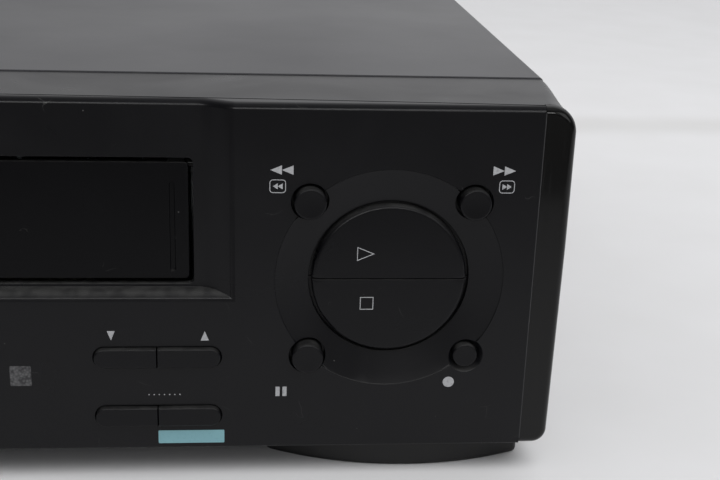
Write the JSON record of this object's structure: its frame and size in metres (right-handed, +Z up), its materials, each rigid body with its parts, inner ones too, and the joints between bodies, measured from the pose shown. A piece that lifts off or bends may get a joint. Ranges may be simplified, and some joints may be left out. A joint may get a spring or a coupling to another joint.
{
  "type": "video cassette recorder",
  "caption": "Front-loading tape recorder deck with a hinged cassette door, a round split play and stop pair, oblong keys and a working tape carriage inside a steel-covered cabinet.",
  "frame": {"origin": "centre of the bounding box on the table plane, under the feet", "axes": "+X to the viewer's right along the front, +Y from the front panel to the rear, +Z up"},
  "size_m": [0.3786, 0.3, 0.0955],
  "materials": {
    "cover_paint": "satin black baked enamel with a fine grain",
    "rear_paint": "satin black baked enamel",
    "front_abs": "moulded black, fine spark texture",
    "gloss_abs": "moulded black, polished",
    "foot_abs": "moulded black",
    "foot_rubber": "moulded",
    "black_screw": "blackened steel",
    "door_abs": "moulded black, semi-gloss",
    "spring_steel": "bright drawn wire",
    "button_abs": "moulded black, fine spark texture",
    "smoked_acrylic": "smoked, polished",
    "infrared_acrylic": "dark red, polished",
    "tube_glass": "clear over a dark grid",
    "board_green": "solder resist on paper laminate",
    "board_brown": "paper phenolic laminate",
    "component_black": "moulded components",
    "component_mixed": "wound and moulded components",
    "socket_black": "moulded black",
    "socket_plated": "nickel plate",
    "tin_plate": "tin plate",
    "zinc_steel": "zinc-plated sheet",
    "drum_aluminium": "turned bright",
    "flywheel_steel": "machined",
    "pulley_acetal": "moulded",
    "reel_acetal": "moulded",
    "belt_rubber": "ground"
  },
  "bodies": {
    "cabinet": {"top_cover": "cover_paint", "bottom_pan": "zinc_steel", "rear_panel": "rear_paint", "front_bezel": "front_abs", "end_cap_right": "gloss_abs", "end_cap_left": "gloss_abs", "front_foot_right": "foot_abs", "front_foot_left": "foot_abs", "rear_feet": "foot_rubber", "cover_screws": "black_screw", "door_spring": "spring_steel", "display_window": "smoked_acrylic", "display_tube": "tube_glass", "remote_window": "infrared_acrylic", "front_board": "board_green", "tact_switches": "component_black", "main_board": "board_brown", "board_parts": "component_black", "power_board": "board_brown", "power_parts": "component_mixed", "mains_inlet": "socket_black", "tuner_can": "tin_plate", "scart_sockets": "socket_black", "audio_sockets": "socket_plated", "deck_chassis": "zinc_steel", "carriage_side_left": "zinc_steel", "carriage_side_right": "zinc_steel", "lower_drum": "drum_aluminium", "capstan_housing": "zinc_steel", "drive_belt": "belt_rubber", "loading_motor": "tin_plate", "tape_heads": "drum_aluminium"},
    "door": {"cassette_door": "door_abs"},
    "play": {"play_button": "button_abs"},
    "stop": {"stop_button": "button_abs"},
    "rewind": {"rewind_button": "button_abs"},
    "fast_forward": {"fast_forward_button": "button_abs"},
    "pause": {"pause_button": "button_abs"},
    "record": {"record_button": "button_abs"},
    "channel_down": {"channel_down_button": "button_abs"},
    "channel_up": {"channel_up_button": "button_abs"},
    "menu": {"menu_button": "button_abs"},
    "set": {"set_button": "button_abs"},
    "power": {"power_button": "button_abs"},
    "eject": {"eject_button": "button_abs"},
    "slider": {"loading_slider": "zinc_steel"},
    "holder": {"cassette_holder": "zinc_steel"},
    "drum": {"upper_drum": "drum_aluminium"},
    "capstan": {"capstan_flywheel": "flywheel_steel"},
    "centre_pulley": {"centre_pulley": "pulley_acetal"},
    "idler_arm": {"idler_arm": "pulley_acetal"},
    "idler_wheel": {"idler_wheel": "belt_rubber"},
    "supply_reel": {"supply_reel": "reel_acetal"},
    "take_up_reel": {"take_up_reel": "reel_acetal"},
    "pinch_arm": {"pinch_arm": "zinc_steel"},
    "pinch_roller": {"pinch_roller": "belt_rubber"},
    "guide_left": {"tape_guide_left": "flywheel_steel"},
    "guide_right": {"tape_guide_right": "flywheel_steel"},
    "motor_pinion": {"motor_pinion": "reel_acetal"},
    "cam_gear": {"cam_gear": "reel_acetal"}
  },
  "joints": [
    {"name": "door_swing", "type": "hinge", "parent": "cabinet", "child": "door", "pos_m": [0, -0.1413, 0.0793], "axis": [1, 0, 0], "range_deg": [0, 90], "stiffness_Nm_per_rad": 0.02, "springref_deg": -20.05},
    {"name": "play_press", "type": "slide", "parent": "cabinet", "child": "play", "axis": [0, 1, 0], "range_m": [0, 0.0008], "stiffness_N_per_m": 800},
    {"name": "stop_press", "type": "slide", "parent": "cabinet", "child": "stop", "axis": [0, 1, 0], "range_m": [0, 0.0008], "stiffness_N_per_m": 800},
    {"name": "rewind_press", "type": "slide", "parent": "cabinet", "child": "rewind", "axis": [0, 1, 0], "range_m": [0, 0.0008], "stiffness_N_per_m": 800},
    {"name": "fast_forward_press", "type": "slide", "parent": "cabinet", "child": "fast_forward", "axis": [0, 1, 0], "range_m": [0, 0.0008], "stiffness_N_per_m": 800},
    {"name": "pause_press", "type": "slide", "parent": "cabinet", "child": "pause", "axis": [0, 1, 0], "range_m": [0, 0.0008], "stiffness_N_per_m": 800},
    {"name": "record_press", "type": "slide", "parent": "cabinet", "child": "record", "axis": [0, 1, 0], "range_m": [0, 0.0008], "stiffness_N_per_m": 800},
    {"name": "channel_down_press", "type": "slide", "parent": "cabinet", "child": "channel_down", "axis": [0, 1, 0], "range_m": [0, 0.0008], "stiffness_N_per_m": 800},
    {"name": "channel_up_press", "type": "slide", "parent": "cabinet", "child": "channel_up", "axis": [0, 1, 0], "range_m": [0, 0.0008], "stiffness_N_per_m": 800},
    {"name": "menu_press", "type": "slide", "parent": "cabinet", "child": "menu", "axis": [0, 1, 0], "range_m": [0, 0.0008], "stiffness_N_per_m": 800},
    {"name": "set_press", "type": "slide", "parent": "cabinet", "child": "set", "axis": [0, 1, 0], "range_m": [0, 0.0008], "stiffness_N_per_m": 800},
    {"name": "power_press", "type": "slide", "parent": "cabinet", "child": "power", "axis": [0, 1, 0], "range_m": [0, 0.0008], "stiffness_N_per_m": 800},
    {"name": "eject_press", "type": "slide", "parent": "cabinet", "child": "eject", "axis": [0, 1, 0], "range_m": [0, 0.0008], "stiffness_N_per_m": 800},
    {"name": "holder_travel", "type": "slide", "parent": "cabinet", "child": "slider", "axis": [0, 1, 0], "range_m": [-0.062, 0]},
    {"name": "holder_lower", "type": "slide", "parent": "slider", "child": "holder", "axis": [0, 0, -1], "range_m": [0, 0.02]},
    {"name": "drum_spin", "type": "hinge", "parent": "cabinet", "child": "drum", "pos_m": [0, 0.03, 0.03], "axis": [0.1045, 0, 0.9945], "continuous": true},
    {"name": "capstan_spin", "type": "hinge", "parent": "cabinet", "child": "capstan", "pos_m": [0.05, 0, 0.02], "axis": [0, 0, 1], "continuous": true},
    {"name": "centre_pulley_spin", "type": "hinge", "parent": "cabinet", "child": "centre_pulley", "pos_m": [0, -0.044, 0.024], "axis": [0, 0, 1], "continuous": true},
    {"name": "supply_reel_spin", "type": "hinge", "parent": "cabinet", "child": "supply_reel", "pos_m": [-0.046, -0.066, 0.028], "axis": [0, 0, 1], "continuous": true},
    {"name": "take_up_reel_spin", "type": "hinge", "parent": "cabinet", "child": "take_up_reel", "pos_m": [0.046, -0.066, 0.028], "axis": [0, 0, 1], "continuous": true},
    {"name": "idler_swing", "type": "hinge", "parent": "cabinet", "child": "idler_arm", "pos_m": [0, -0.044, 0.03], "axis": [0, 0, 1], "range_deg": [-18.5, 18.5]},
    {"name": "idler_wheel_spin", "type": "hinge", "parent": "idler_arm", "child": "idler_wheel", "pos_m": [0, -0.066, 0.028], "axis": [0, 0, 1], "continuous": true},
    {"name": "pinch_arm_swing", "type": "hinge", "parent": "cabinet", "child": "pinch_arm", "pos_m": [0.066, 0.028, 0.034], "axis": [0, 0, 1], "range_deg": [-22, 0], "stiffness_Nm_per_rad": 0.01},
    {"name": "pinch_roller_spin", "type": "hinge", "parent": "pinch_arm", "child": "pinch_roller", "pos_m": [0.06935, -0.00085, 0.043], "axis": [0, 0, 1], "continuous": true},
    {"name": "guide_left_travel", "type": "slide", "parent": "cabinet", "child": "guide_left", "axis": [-0.2079, 0.9781, 0], "range_m": [0, 0.057]},
    {"name": "guide_right_travel", "type": "slide", "parent": "cabinet", "child": "guide_right", "axis": [0.2079, 0.9781, 0], "range_m": [0, 0.057]},
    {"name": "cam_gear_turn", "type": "hinge", "parent": "cabinet", "child": "cam_gear", "pos_m": [-0.086, 0.044, 0.029], "axis": [0, 0, 1], "range_deg": [0, 270]},
    {"name": "motor_pinion_turn", "type": "hinge", "parent": "cabinet", "child": "motor_pinion", "pos_m": [-0.086, 0.0721, 0.029], "axis": [0, 0, 1], "range_deg": [-1080, 0]}
  ],
  "couplings": [
    {"joint": "centre_pulley_spin", "follows": "capstan_spin", "ratio": 0.4},
    {"joint": "guide_right_travel", "follows": "guide_left_travel", "ratio": 1},
    {"joint": "motor_pinion_turn", "follows": "cam_gear_turn", "ratio": -4}
  ]
}
